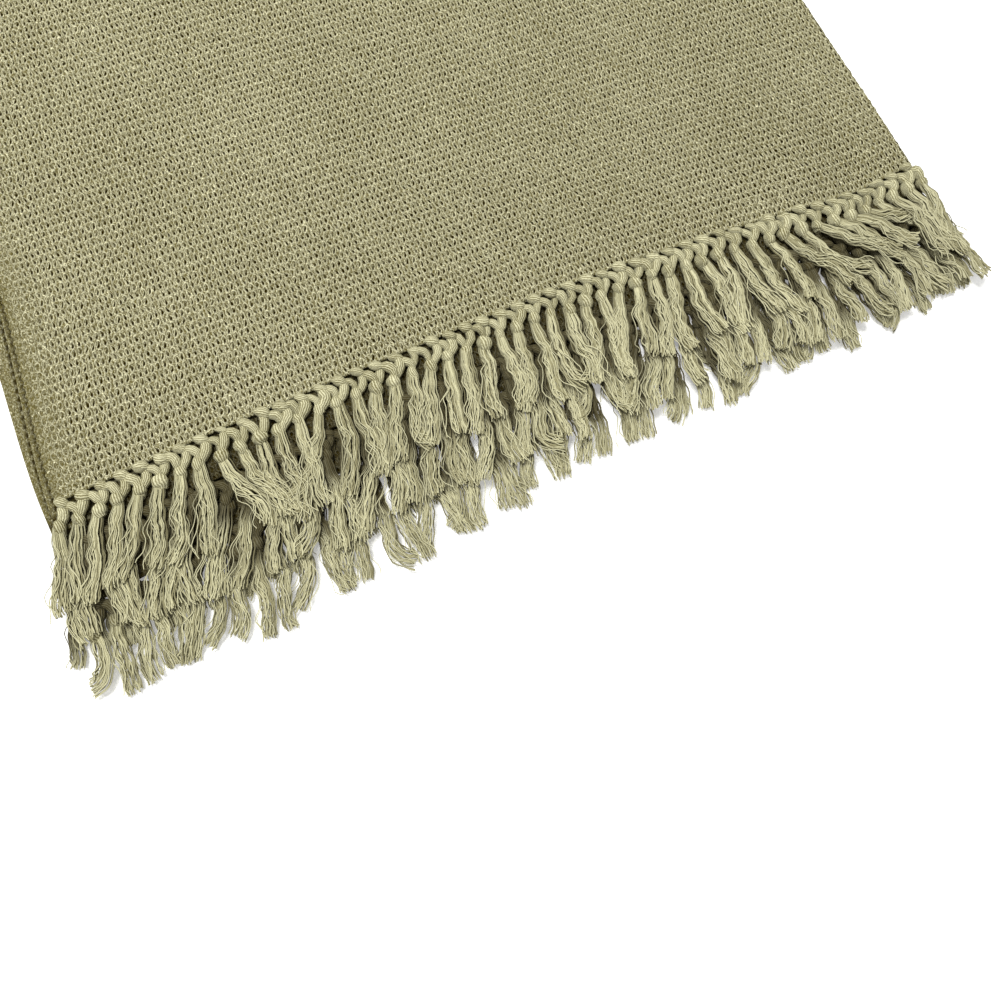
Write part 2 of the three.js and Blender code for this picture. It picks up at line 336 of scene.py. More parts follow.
# %% Let the lattice drift
DRIFT_ACROSS = [
    {"reach": 0.5, "across": 160, "along": 61, "start": 0},
    {"reach": 0.4, "across": 47, "along": -210, "start": 1},
]
DRIFT_ALONG = [
    {"reach": 0.7, "across": 83, "along": 270, "start": 0},
    {"reach": 0.5, "across": 31, "along": 99, "start": 2},
]
UNEVEN_ACROSS = 0.2
UNEVEN_ALONG = 0.25
DRIFT_FROM_SELVEDGE = (3, 25)
DRIFT_FROM_END = (2, 25)


def drift(waves):
    """How far the places of the weave drift on long waves."""
    return sum(w["reach"] * np.sin(flat_s / w["across"] + flat_p / w["along"] + w["start"]) for w in waves)


inside = smooth(from_edge, *DRIFT_FROM_SELVEDGE) * smooth(flat_p, *DRIFT_FROM_END)
uneven_s = inside * (weave_seed.normal(0, UNEVEN_ACROSS, flat_s.shape) + drift(DRIFT_ACROSS))
uneven_p = inside * (weave_seed.normal(0, UNEVEN_ALONG, flat_s.shape) + drift(DRIFT_ALONG))
print("largest drift across in mm:", np.abs(uneven_s).max().round(2))

# %% [markdown]
# ## The selvedge and the edges
# Along its sides the cloth ends in a smooth roll where each weft turns back, so the border is scalloped:
# it bulges at each ridge and steps back between two. The same rounding closes every border of the sheet.

# %% Profile of the edges
SCALLOP = 0.9
SCALLOP_WIDTH = 4.0
SCALLOP_START = 12.0
ROLL = {"height": 0.5, "from_edge": 2.6, "width": 1.7}
GROOVE = {"height": -0.5, "from_edge": 5.6, "width": 0.9}


def edge_offset(distance):
    """How far the face lies from the cloth's middle, rounded off near a border."""
    d = np.clip(distance / HALF_THICKNESS, 0, 1)
    return HALF_THICKNESS * np.sqrt(d * (2 - d))


top_offset = edge_offset(np.minimum(from_edge, flat_p)) + relief
for form in (ROLL, GROOVE):
    top_offset += form["height"] * np.exp(-(((from_edge - form["from_edge"]) / form["width"]) ** 2))
row_turn = np.cos(2 * math.pi * (flat_p - FIRST_RIDGE) / ROW_PITCH)
at_border = 1 - smooth(from_edge, 0, SCALLOP_WIDTH)
uneven_s -= SCALLOP * row_turn * at_border * smooth(flat_p, 0, SCALLOP_START)
print("highest point above the cloth's middle in mm:", top_offset.max().round(2))

# %% [markdown]
# ## Creases
# A throw that came out of a package keeps faint creases. Each is one line of a table: where it starts
# and ends on the top layer, how deep it is and how wide.

# %% Lay the creases
CREASES = [
    {"from": (-474, 300), "to": (-479, 120), "depth": 0.7, "width": 7},
    {"from": (-452, 330), "to": (-463, 190), "depth": -0.5, "width": 9},
    {"from": (-565, 300), "to": (-560, 190), "depth": 0.6, "width": 8},
    {"from": (-300, 560), "to": (-340, 330), "depth": 0.5, "width": 12},
    {"from": (-120, 520), "to": (-150, 180), "depth": 0.5, "width": 14},
]
CREASE_FADE = 40.0


def crease_height(s, p):
    """The height of all creases at places of the top layer."""
    height = np.zeros_like(s)
    for crease in CREASES:
        start = np.array(crease["from"], float)
        run = np.array(crease["to"], float) - start
        length = np.hypot(*run)
        along = ((s - start[0]) * run[0] + (p - start[1]) * run[1]) / length
        beside = ((s - start[0]) * run[1] - (p - start[1]) * run[0]) / length
        begun = smooth(along, -CREASE_FADE, CREASE_FADE)
        ended = smooth(along, length - CREASE_FADE, length + CREASE_FADE)
        height -= crease["depth"] * begun * (1 - ended) * np.exp(-((beside / crease["width"]) ** 2))
    return height


top_offset += crease_height(flat_s, flat_p)
print("creases:", len(CREASES))

# %% [markdown]
# ## The sheet as one closed mesh
# The fine top layer meets coarse layers at the folds. Where two borders with different numbers of points
# meet, a zipper of triangles joins them, so the whole throw is one closed skin, as thick as the real cloth.
# Each point also keeps a shade, because deep gaps between the layers stay too light otherwise.

# %% Points of the skin
SHADE_PAST_FOLD = (20.0, 60.0)
SHADE_BESIDE_EDGE = (-4.2, -1.8)
SHADE_UNDER_FRINGE = (0.0, 8.0)
TOP_SELVEDGE = heap_places(-UPPER_WIDTH, 0.0, 0.0)[0]

skin_points = []
skin_places = []
skin_shades = []


def shade_on_cloth(s, p, x, y):
    """1 where the fringe or the layer above covers the cloth, and 0 where it lies open."""
    past_cross_fold = p - CROSS_FOLD_AWAY - CROSS_FOLD_ARC
    below = np.maximum(smooth(s, *SHADE_PAST_FOLD), smooth(past_cross_fold, *SHADE_PAST_FOLD))
    edge_above = TOP_SELVEDGE - np.where(s > 0, SELVEDGE_SHIFT * (1 - y / CROSS_FOLD_AWAY), 0)
    under_edge = smooth(x - edge_above, *SHADE_BESIDE_EDGE)
    return below * np.maximum(under_edge, smooth(-y, *SHADE_UNDER_FRINGE))


def add_points(s, p, offset):
    """Adds points of the folded cloth, and returns their numbers in the shape of s."""
    first = sum(len(points) for points in skin_points)
    s, p, offset = np.broadcast_arrays(s, p, offset)
    x, y, z = heap_places(s, p, offset)
    skin_points.append(settle(x, y, z).reshape(-1, 3))
    skin_places.append(np.stack([s, p], axis=-1).reshape(-1, 2))
    skin_shades.append(shade_on_cloth(s, p, x, y).ravel())
    return first + np.arange(s.size).reshape(s.shape)


def coarse_grid(s, p, side):
    """A coarse part of one face of the cloth."""
    s, p = np.meshgrid(s, p)
    beside = np.minimum(s + UPPER_WIDTH, LOWER_WIDTH - s)
    distance = np.minimum(beside, np.minimum(p, CLOTH_LENGTH - p))
    return add_points(s, p, side * edge_offset(distance))


print("the top selvedge lies this far left of the fold, in mm:", round(-float(TOP_SELVEDGE), 1))

# %% Lay the fine layer and the coarse ones
COARSE_S = [20, 60, 120, 200, 290, 380, 470, 560]
ROUND_FOLD = [-40, -36, -33, -30.5, -28.5, -26.5, -24.5, -22.5, -20.5, -18.5, -16, -12, -4]  # at the far end
INNER_ROUND_FOLD = [-14, -9, -4, 1, 6, 11, 16]
COARSE_EDGE = [30, 22, 17, 14, 12, 10.5, 9, 7.8, 6.6, 5.4, 4.2, 2.6, 1.3, 0.5, 0]  # from the selvedge
COARSE_P = [0, 0.5, 1.3, 4, 9, 14, 20, *range(29, 210, 10), 230, 290, 390, 500, 610, 720, 800, 826]
CROSS_FOLD_STEPS = 7

dense = add_points(flat_s + uneven_s, flat_p + uneven_p, top_offset)
last_s, last_p = dense_s[-1], dense_p[-1]
cross_round = CROSS_FOLD_AWAY + CROSS_FOLD_ARC * np.linspace(0, 1, CROSS_FOLD_STEPS)
back_p = CLOTH_LENGTH - np.array(COARSE_P[::-1], float)
all_p = np.concatenate([COARSE_P, cross_round, back_p])
late_p = all_p[all_p > last_p + 1]
lower_s = np.concatenate([COARSE_S, LOWER_WIDTH - np.array(COARSE_EDGE)])
upper_s = -np.concatenate([COARSE_S, UPPER_WIDTH - np.array(COARSE_EDGE)])[::-1]
left_s = np.concatenate([upper_s[:-1], ROUND_FOLD, [last_s]])
lower_half = coarse_grid(lower_s, all_p, 1)
second_half = coarse_grid(left_s, late_p, 1)
inner_s = np.concatenate([upper_s[1:], INNER_ROUND_FOLD, lower_s[:-1]])
inner = coarse_grid(inner_s, all_p[1:-1], -1)
print("points of the skin:", sum(len(points) for points in skin_points))


# %% Zip the parts together
def quads(grid):
    """The faces of a grid of points."""
    return np.stack([grid[:-1, :-1], grid[:-1, 1:], grid[1:, 1:], grid[1:, :-1]], axis=-1).reshape(-1, 4)


def zipper(one, other, axis):
    """Triangles between two lines of points, in the order of their places on the flat cloth."""
    places = np.concatenate(skin_places)[:, axis]
    faces = []
    i = j = 0
    while i + 1 < len(one) or j + 1 < len(other):
        if j + 1 == len(other) or (i + 1 < len(one) and places[one[i + 1]] <= places[other[j + 1]]):
            faces.append((one[i], one[i + 1], other[j]))
            i += 1
        else:
            faces.append((one[i], other[j + 1], other[j]))
            j += 1
    return faces


left_of_seam = np.concatenate([dense[:, -1], second_half[:, -1]])
skin_faces = [face for grid in (dense, lower_half, second_half, inner) for face in quads(grid).tolist()]
skin_faces += zipper(left_of_seam, lower_half[:, 0], 1)
skin_faces += zipper(dense[-1], second_half[0], 0)
skin_faces += zipper(np.concatenate([dense[0], lower_half[0]]), inner[0], 0)
skin_faces += zipper(np.concatenate([second_half[-1], lower_half[-1]]), inner[-1], 0)
skin_faces += zipper(np.concatenate([dense[:, 0], second_half[:, 0]]), inner[:, 0], 1)
skin_faces += zipper(lower_half[:, -1], inner[:, -1], 1)

cloth_mesh = bpy.data.meshes.new("throw_cloth")
cloth_mesh.from_pydata(in_row_frame(np.concatenate(skin_points)).tolist(), [], skin_faces)
print("faces of the skin:", len(cloth_mesh.polygons))

# %% [markdown]
# A closed skin needs all its faces to point outwards, which Blender works out for us. The map of the
# weave is stored as a UV map that counts cells: one unit across is one cell and one unit along is one row.

# %% Turn the faces out and map the weave
import bmesh

skin = bmesh.new()
skin.from_mesh(cloth_mesh)
bmesh.ops.recalc_face_normals(skin, faces=skin.faces)
open_edges = sum(1 for edge in skin.edges if not edge.is_manifold)
skin_volume = skin.calc_volume()
skin.to_mesh(cloth_mesh)
skin.free()
cloth_mesh.polygons.foreach_set("use_smooth", np.ones(len(cloth_mesh.polygons), bool))
corner_points = np.zeros(len(cloth_mesh.loops), np.int32)
cloth_mesh.loops.foreach_get("vertex_index", corner_points)
places = np.concatenate(skin_places)
cell_map = (places - [cells_start, FIRST_RIDGE]) / [CELL_WIDTH, ROW_PITCH]
cell_layer = cloth_mesh.uv_layers.new(name="cells")
cell_layer.uv.foreach_set("vector", cell_map[corner_points].astype(np.float32).ravel())
shade_layer = cloth_mesh.attributes.new("shade", "FLOAT", "POINT")
shade_layer.data.foreach_set("value", np.concatenate(skin_shades).astype(np.float32))
throw = bpy.data.objects.new("throw_cloth", cloth_mesh)
bpy.context.scene.collection.objects.link(throw)
print("open edges:", open_edges, "volume in litres:", round(skin_volume * 1000, 3))

# %% [markdown]
# ## The finish of the cloth
# The yarn is dull cotton in a dusty sage green, a little fuzzy, with painted shade where it lies deep. To the
# eye
# the cloth is rows of small curls: each cell shows a light loop, open to one side, and near its middle a
# dark dash with a light rim. The dash is painted shade in the cell's pit, and the loop and the rim are
# painted highlights where the yarn stands up. The dashes fade towards their far end, and each has its own
# place, slant and depth by chance. The cell map tells the shader where each curl is. A noise bends the map
# first, so the lattice wanders as it does in a washed cloth.

# %% Cotton cell weave
YARN_MIDDLE = "#675f36"
# painted shade: the colour that pits, covered cloth and covered yarn darken towards
PAINTED_SHADE_COLOUR = "#2a2000"
# the light end of the cloth's tone, which also gives the painted highlights of the loops and rims
LIGHT_TONE_AND_LOOP_HIGHLIGHT = "#fbf6cc"
WANDER_SIZE = 5.11  # from bend to bend, in mm
WANDER_REACH = (0.5, 0.4, 0.0)  # in cells and rows
NOISE_MIDDLE = (0.5, 0.5, 0.5)

cotton_weave, weave, weave_shader = start_material(
    "cotton_cell_weave", {"Roughness": 0.95, "Specular IOR Level": 0.0}
)
cells = add_node(weave, "ShaderNodeUVMap", uv_map="cells").outputs["UV"]
wander = add_node(
    weave,
    "ShaderNodeTexNoise",
    {"Vector": cells, "Scale": CELL_WIDTH / WANDER_SIZE, "Detail": 2.0, "Roughness": 0.6},
).outputs["Color"]
centred = add_node(weave, "ShaderNodeVectorMath", (wander, NOISE_MIDDLE), operation="SUBTRACT")
wandered = add_node(
    weave, "ShaderNodeVectorMath", (centred, WANDER_REACH, cells), operation="MULTIPLY_ADD"
)
cell_number = add_node(weave, "ShaderNodeVectorMath", (wandered,), operation="FLOOR")
chance = add_node(weave, "ShaderNodeTexWhiteNoise", {"Vector": cell_number}, noise_dimensions="2D")
chances = add_node(weave, "ShaderNodeSeparateColor", (chance.outputs["Color"],))
place_chance, depth_chance, turn_chance = chances.outputs
in_cell = add_node(weave, "ShaderNodeVectorMath", (wandered,), operation="FRACTION")
across_cell, along_cell, _ = add_node(weave, "ShaderNodeSeparateXYZ", (in_cell,)).outputs
print("nodes so far:", len(weave.nodes))

# %% Loops
RANGE = "ShaderNodeMapRange"
SOFT = {"interpolation_type": "SMOOTHSTEP"}
PLACE_SPREAD = 0.16  # in cells and rows, as are the next sizes
LOOP_MIDDLE = 0.42
LOOP_SLANT = 0.04
LOOP_HALF_WIDTH = 0.40
LOOP_HALF_LENGTH = 0.42
OPENING_SPREAD = 3.0  # radians round the loop
OPENING = (1.0, 0.2, 0.3, 1.0)  # where it starts and ends, and the loop's strength there


def round_distance(beside, along, half_width, half_length):
    """How far a place lies from the middle of an oval: 1 on the oval itself."""
    wide = add_node(weave, MATH, (beside, half_width), operation="DIVIDE")
    long = add_node(weave, MATH, (along, half_length), operation="DIVIDE")
    place = add_node(weave, "ShaderNodeCombineXYZ", (wide, long))
    return add_node(weave, "ShaderNodeVectorMath", (place,), operation="LENGTH").outputs["Value"]


def distance_from(value, line):
    """How far a value lies from a line, on either side of it."""
    past = add_node(weave, MATH, (value, line), operation="SUBTRACT")
    return add_node(weave, MATH, (past,), operation="ABSOLUTE")


middle = add_node(weave, MATH, (place_chance, PLACE_SPREAD, LOOP_MIDDLE), operation="MULTIPLY_ADD")
along_loop = add_node(weave, MATH, (along_cell, 0.5), operation="SUBTRACT")
beside_middle = add_node(weave, MATH, (across_cell, middle), operation="SUBTRACT")
beside_loop = add_node(weave, MATH, (along_loop, LOOP_SLANT, beside_middle), operation="MULTIPLY_ADD")
off_loop = distance_from(round_distance(beside_loop, along_loop, LOOP_HALF_WIDTH, LOOP_HALF_LENGTH), 1.0)
round_loop = add_node(weave, MATH, (along_loop, beside_loop), operation="ARCTAN2")
opening = add_node(weave, MATH, (turn_chance, OPENING_SPREAD, -OPENING_SPREAD / 2), operation="MULTIPLY_ADD")
from_opening = add_node(weave, MATH, (round_loop, opening), operation="SUBTRACT")
facing = add_node(weave, MATH, (from_opening,), operation="COSINE")
loop_strength = add_node(weave, RANGE, (facing, *OPENING), **SOFT)
print("nodes with loops:", len(weave.nodes))

# %% Dashes and their rims
DASH_HALF_WIDTH = 0.155
DASH_HALF_LENGTH = 0.36
DASH_TAPER = -0.16
DASH_BOW = 0.7
DASH_SHIFT = -0.04
SLANT_SPREAD = 0.9
DEPTH_SPREAD = 0.75
DEPTH_LEAST = 0.55
DASH_FADE = (0.25, -0.12, 0.4, 1.0)  # from its far end to its near part, and its strength there
RIM_DISTANCE = 1.7  # where 1 is the dash's own outline
RIM_SPREAD = 0.4
RIM_LEAST = 0.6

# The dash is painted shade in the cell's pit, and its rim is a painted highlight.
along_dash = add_node(weave, MATH, (place_chance, PLACE_SPREAD, along_loop), operation="MULTIPLY_ADD")
slant = add_node(weave, MATH, (turn_chance, SLANT_SPREAD, -SLANT_SPREAD / 2), operation="MULTIPLY_ADD")
along_squared = add_node(weave, MATH, (along_dash, along_dash), operation="MULTIPLY")
bowed = add_node(weave, MATH, (along_squared, DASH_BOW, DASH_SHIFT), operation="MULTIPLY_ADD")
dash_width = add_node(weave, MATH, (along_dash, DASH_TAPER, DASH_HALF_WIDTH), operation="MULTIPLY_ADD")
beside_bow = add_node(weave, MATH, (beside_loop, bowed), operation="ADD")
beside_dash = add_node(weave, MATH, (along_dash, slant, beside_bow), operation="MULTIPLY_ADD")
dash_distance = round_distance(beside_dash, along_dash, dash_width, DASH_HALF_LENGTH)
# how dark the painted shade of each dash gets
own_depth = add_node(weave, MATH, (depth_chance, DEPTH_SPREAD, DEPTH_LEAST), operation="MULTIPLY_ADD")
fade = add_node(weave, RANGE, (along_dash, *DASH_FADE), **SOFT)
dash_depth = add_node(weave, MATH, (own_depth, fade), operation="MULTIPLY")
off_rim = distance_from(dash_distance, RIM_DISTANCE)
rim_strength = add_node(weave, MATH, (place_chance, RIM_SPREAD, RIM_LEAST), operation="MULTIPLY_ADD")
print("nodes with dashes:", len(weave.nodes))

# %% [markdown]
# The selvedge has no loops and the first cells beside it only faint dashes, so masks fade them in by the
# cell count. Stray fibres are the crests of a noise: where it crosses its middle value, a thin line runs.
# A real fibre is too fine to show, so fibres and grain are drawn about a millimetre wide. A soft cloud of
# light and dark keeps the large surface from looking printed. Where one layer lies on the next, its border
# shades the lower one in dots, one for each turn of the weft.

# %% Marks of the cells
CELLS_ACROSS = (UPPER_WIDTH + LOWER_WIDTH - 2 * SELVEDGE_WIDTH) / CELL_WIDTH
LOOPS_FROM = (-1.1, 0.4, 0.0, 1.0)  # cells from the selvedge, and the strength there
DASHES_FROM = (0.0, 6.0, 0.1, 1.0)
DASH_BORDER = (1.2, 0.7)
LOOP_BORDER = (0.26, 0.04)
RIM_BORDER = (0.7, 0.1)
GAP_BORDER = (0.38, 0.5)

cells_x, cells_y, _ = add_node(weave, "ShaderNodeSeparateXYZ", (cells,)).outputs
from_right = add_node(weave, MATH, (CELLS_ACROSS, cells_x), operation="SUBTRACT")
cells_in = add_node(weave, MATH, (cells_x, from_right), operation="MINIMUM")
has_loops = add_node(weave, RANGE, (cells_in, *LOOPS_FROM), **SOFT)
has_dashes = add_node(weave, RANGE, (cells_in, *DASHES_FROM), **SOFT)
marks = []
for distance, border, strength, mask in (
    (dash_distance, DASH_BORDER, dash_depth, has_dashes),
    (off_loop, LOOP_BORDER, loop_strength, has_loops),
    (off_rim, RIM_BORDER, rim_strength, has_dashes),
):
    masked = add_node(weave, MATH, (strength, mask), operation="MULTIPLY")
    marks.append(add_node(weave, RANGE, (distance, *border, 0.0, masked), **SOFT))
dash, loop, rim = marks
off_middle = add_node(weave, MATH, (along_loop,), operation="ABSOLUTE")
between_rows = add_node(weave, RANGE, (off_middle, *GAP_BORDER, 0.0, has_loops), **SOFT)
print("marks of a cell:", len(marks))

# %% Stray fibres, grain and clouds
FIBRE_SIZE = 1.32  # in mm, as are the next two
GRAIN_SIZE = 0.93
CLOUD_SIZE = 91.0
FIBRE_BORDER = (0.075, 0.0, 0.0, 1.0)
NOISES = [
    {"Vector": wandered, "Scale": CELL_WIDTH / FIBRE_SIZE, "Detail": 0.0, "Distortion": 1.2},
    {"Vector": wandered, "Scale": CELL_WIDTH / GRAIN_SIZE, "Detail": 0.0, "Distortion": 0.5},
    {"Vector": cells, "Scale": CELL_WIDTH / CLOUD_SIZE, "Detail": 3.0},
]

curly, grain, cloud = [add_node(weave, "ShaderNodeTexNoise", noise).outputs["Fac"] for noise in NOISES]
fibre = add_node(weave, RANGE, (distance_from(curly, NOISE_MIDDLE[0]), *FIBRE_BORDER), **SOFT)
print("bends of each noise in a cell:", [round(noise["Scale"], 2) for noise in NOISES])

# %% Colour and bump of the weave
LIGHTNESS_START = -0.57
# the loops and the rims are painted highlights where the yarn stands up
LIGHTNESS = [(loop, 0.6), (rim, 0.45), (fibre, 0.6), (between_rows, 0.17), (grain, 0.95), (cloud, 0.2)]
BUMP_HEIGHT = [(fibre, 0.5), (loop, 0.6), (dash, -1.2)]
BUMP_DEPTH = 1.2  # in mm
DOTS = (-0.7, 0.5, 0.45, 0.95)
DOTS_END = (3.0, 5.0)  # in cells from the selvedge
SHADE_BEYOND_DOTS = 0.85
FIRST_COLOUR = 6  # sockets of a mix of colours
SECOND_COLOUR = 7
MIXED_COLOUR = 2

lightness = add_up(weave, LIGHTNESS_START, LIGHTNESS)
tone_and_highlights = add_node(
    weave,
    "ShaderNodeMix",
    {"Factor": lightness, FIRST_COLOUR: linear(YARN_MIDDLE), SECOND_COLOUR: linear(LIGHT_TONE_AND_LOOP_HIGHLIGHT)},
    data_type="RGBA",
).outputs[MIXED_COLOUR]
# painted shade: the stored shade, in dots along the seams, and the dashes darken the cloth towards the shade
# colour
shade = add_node(weave, "ShaderNodeAttribute", attribute_name="shade").outputs["Fac"]
round_turn = add_node(weave, MATH, (cells_y, 2 * math.pi), operation="MULTIPLY")
turns = add_node(weave, MATH, (round_turn,), operation="COSINE")
dots = add_node(weave, RANGE, (turns, *DOTS), **SOFT)
dot_depth = add_node(weave, RANGE, (cells_in, *DOTS_END, dots, SHADE_BEYOND_DOTS), **SOFT)
dotted = add_node(weave, MATH, (shade, dot_depth), operation="MULTIPLY")
dark = add_node(weave, MATH, (dash, dotted), operation="MAXIMUM")
tone_highlights_and_shade = add_node(
    weave,
    "ShaderNodeMix",
    {"Factor": dark, FIRST_COLOUR: tone_and_highlights, SECOND_COLOUR: linear(PAINTED_SHADE_COLOUR)},
    data_type="RGBA",
).outputs[MIXED_COLOUR]
weave.links.new(tone_highlights_and_shade, weave_shader.inputs["Base Color"])

weave_bump = add_node(
    weave,
    "ShaderNodeBump",
    {"Height": add_up(weave, 0.0, BUMP_HEIGHT), "Strength": 1.0, "Distance": BUMP_DEPTH / 1000},
)
weave.links.new(weave_bump.outputs[0], weave_shader.inputs["Normal"])
cloth_mesh.materials.append(cotton_weave)
print("weave nodes:", len(weave.nodes))

# %% [markdown]
# ## The fringe as lines
# At each end of the cloth the warp ends are knotted in bunches. A bunch leaves its edge knot as two
# cords, each cord meets its neighbour's cord in a second knot, and below that knot the yarns hang free as
# a tassel. All of it is yarn that follows a path, so we draw it as lines first, each point with its own
# thickness, and spin yarn round the lines afterwards. The tables give how far a tassel leans to the right,
# in degrees, and what share of its length it has, by the distance from the selvedge. The top row, which
# is swept over at the right, has its own.

# %% Sizes of the fringe
LOCKS_A_ROW = 48
ROW_START = 8.0
ROW_END = 4.0
KNOT_REACH = 19.0
LOCK_LENGTH = 57.0
LENGTH_SPREAD = 5.0
LEAN_PLACES = [0, 20, 40, 60, 85, 100, 130, 170, 260, 330, 400, 450, 516, 549, 594, 612, 620, 650]
LEAN = [-8, -10, -13, -16, -18, -18, -16, -8, -12, -14, -14, -10, -6, 4, 14, 18, 18, 12]
LEAN_TOP = [-14, -26, -32, -30, -16, 12, -2, -12, -16, -6, -14, -2, 12, 38, 52, 50, 10, 5]
SHARE_PLACES = [0, 40, 85, 130, 450, 540, 590, 610, 618, 650]
LENGTH_SHARE = [0.72, 0.82, 0.94, 1, 1, 0.94, 0.9, 0.88, 0.88, 0.88]
LENGTH_SHARE_TOP = [0.92, 0.95, 1, 1, 1, 0.95, 0.84, 0.8, 1, 1]
UNDER_AT = [0, 0.34, 0.67, 1]  # places along a tassel, for the height of what lies under it
ROWS = [
    {"name": "fringe_top", "half": -1, "second_end": False, "under": [10.8, 10.8, 11.4, 12.4], "covered": 0},
    {"name": "fringe_second", "half": -1, "second_end": True, "under": [7.2, 7.9, 8.6, 8.6], "covered": 68},
    {"name": "fringe_third", "half": 1, "second_end": True, "under": [3.6, 4.2, 4.4, 0.0], "covered": 98},
    {"name": "fringe_bottom", "half": 1, "second_end": False, "under": [0.0, 0.0, 0.0, 0.0], "covered": 120},
]
print("places where the top row leans left:", sum(lean < 0 for lean in LEAN_TOP), "of", len(LEAN_TOP))

# %% Places and shade of a row
COVERED_LESS = 10.0  # towards the right
COVERED_LESS_AT = (-150, -60)
COVER_BORDER = (-14, 4)


def spread(i, row, kind):
    """A repeatable number from -1 to 1 for lock i of a row."""
    turn = math.sin(i * 12.9898 + row * 78.233 + kind * 37.719) * 43758.5453
    return 2 * (turn - math.floor(turn)) - 1


def row_width(row):
    """The width of the half of the cloth that a row belongs to."""
    return UPPER_WIDTH if row["half"] < 0 else LOWER_WIDTH


def row_pitch(row):
    """The distance of a row's knots."""
    return (row_width(row) - ROW_START - ROW_END) / LOCKS_A_ROW


def fringe_points(row, from_fold, reach, height):
    """Points of a row by distance from the long fold, reach out from the edge, and height. Yarn does not
    go round the fold: past it, it lies straight on."""
    edge_y = -END_STAGGER if row["second_end"] else 0.0
    shift = -SELVEDGE_SHIFT if row["second_end"] else 0.0
    x, y, _ = fold_long(row["half"] * np.maximum(from_fold, 0) + shift, edge_y - reach, 0.0)
    return settle(x + np.maximum(-from_fold, 0), y, height)


def shade_of(row, points):
    """0 where a row lies open and 1 where the rows above cover it."""
    if not row["covered"]:
        return np.zeros(len(points))
    covered = row["covered"] - COVERED_LESS * smooth(points[:, 0], *COVERED_LESS_AT)
    return 1 - smooth(-points[:, 1] - covered, *COVER_BORDER)


print("knot pitch in mm:", [round(row_pitch(row), 2) for row in ROWS])

# %% [markdown]
# ## The knotted net
# Each cord is a short curve through a few points, given to the right of its left edge knot, outwards
# from the cloth and upwards, with its radius last. The same curves repeat along the row: an edge knot that
# lies aslant, a cord that arches to the right, a thick cord that swings back to the left, and the barrel
# where both meet. Chance shifts each of them a little.

# %% Curves of one knot
NET_CURVES = {
    "edge_knot": [
        (-4.0, -0.9, 0.6, 1.3),
        (-2.2, 0.4, 1.8, 2.8),
        (0.1, 2.0, 2.3, 3.5),
        (2.2, 3.6, 1.9, 3.0),
        (3.9, 5.2, 0.8, 1.5),
    ],
    "arch_cord": [
        (0.9, 2.9, 0.2, 1.5),
        (3.4, 4.0, 1.6, 2.5),
        (6.0, 5.8, 2.5, 3.1),
        (7.8, 8.8, 2.2, 3.0),
        (7.8, 12.0, 1.1, 2.3),
        (7.1, 14.6, 0.2, 1.6),
    ],
    "swing_cord": [
        (13.0, 2.6, 0.4, 2.4),
        (13.8, 5.4, 1.0, 3.3),
        (13.1, 8.7, 1.0, 3.5),
        (10.9, 11.5, 0.6, 3.1),
        (8.4, 13.9, 0.3, 2.5),
        (6.8, 16.2, 0.0, 2.0),
    ],
    "barrel": [
        (7.2, 11.6, 0.6, 1.8),
        (6.8, 13.6, 1.3, 3.7),
        (6.6, 16.0, 1.5, 4.3),
        (6.6, 18.4, 1.0, 3.8),
        (6.6, 20.8, 0.4, 2.6),
    ],
}
print("curves of a knot:", len(NET_CURVES))

# %% Cords of the net
CORD_POINTS = 8
CURVE_SHIFT = 0.7
POINT_SHIFT = 0.35
CORD_SWELL = (1.08, 0.13)  # the mean and its spread
CORD_TINT = (0.2, 0.6)
FLOOR_CLEARANCE = 1.4  # in radii, because settling presses heights down


def through(points, count):
    """A smooth curve through points, at count even places."""
    points = np.array(points, float)
    ends = np.concatenate([[2 * points[0] - points[1]], points, [2 * points[-1] - points[-2]]])
    at = np.linspace(0, len(points) - 1, count)
    i = np.minimum(at.astype(int), len(points) - 2)
    t = (at - i)[:, None]
    a, b, c, d = ends[i], ends[i + 1], ends[i + 2], ends[i + 3]
    return 0.5 * (2 * b + (c - a) * t + (2 * a - 5 * b + 4 * c - d) * t**2 + (3 * b - a - 3 * c + d) * t**3)


def net_lines(row, seed):
    """The cords and knots of a row, each as points, thickness, tint, shade and a mark for a cord."""
    lines = []
    middle_height = row["under"][0] + HALF_THICKNESS
    for k in range(-1, LOCKS_A_ROW + 1):
        left_root = ROW_START + (k + 1) * row_pitch(row)
        for name, curve in NET_CURVES.items():
            if (k < 0 and name == "swing_cord") or (k == LOCKS_A_ROW and name in ("edge_knot", "arch_cord")):
                continue
            points = np.array(curve, float)
            points[:, :3] += seed.normal(0, CURVE_SHIFT, 3) + seed.normal(0, POINT_SHIFT, (len(points), 3))
            points[:, 3] *= seed.normal(*CORD_SWELL)
            line = through(points, CORD_POINTS)
            height = np.maximum(middle_height + line[:, 2], FLOOR_CLEARANCE * line[:, 3])
            placed = fringe_points(row, left_root - line[:, 0], line[:, 1], height)
            lines.append((placed, line[:, 3], seed.uniform(*CORD_TINT), shade_of(row, placed), True))
    return lines


print("cord points of a row:", CORD_POINTS * len(NET_CURVES) * LOCKS_A_ROW)

# %% [markdown]
# ## The tassels
# Below its knot a bunch opens into about two dozen yarns. They keep the crimp of the weave, so they wave
# side by side, and a few thin ones stray across. A tassel is drawn like a walk: at each step it has a
# heading, which starts from the lean of its place in the row, sways, and for some turns away at the end.
# That keeps the yarns at their true length however much they bend.

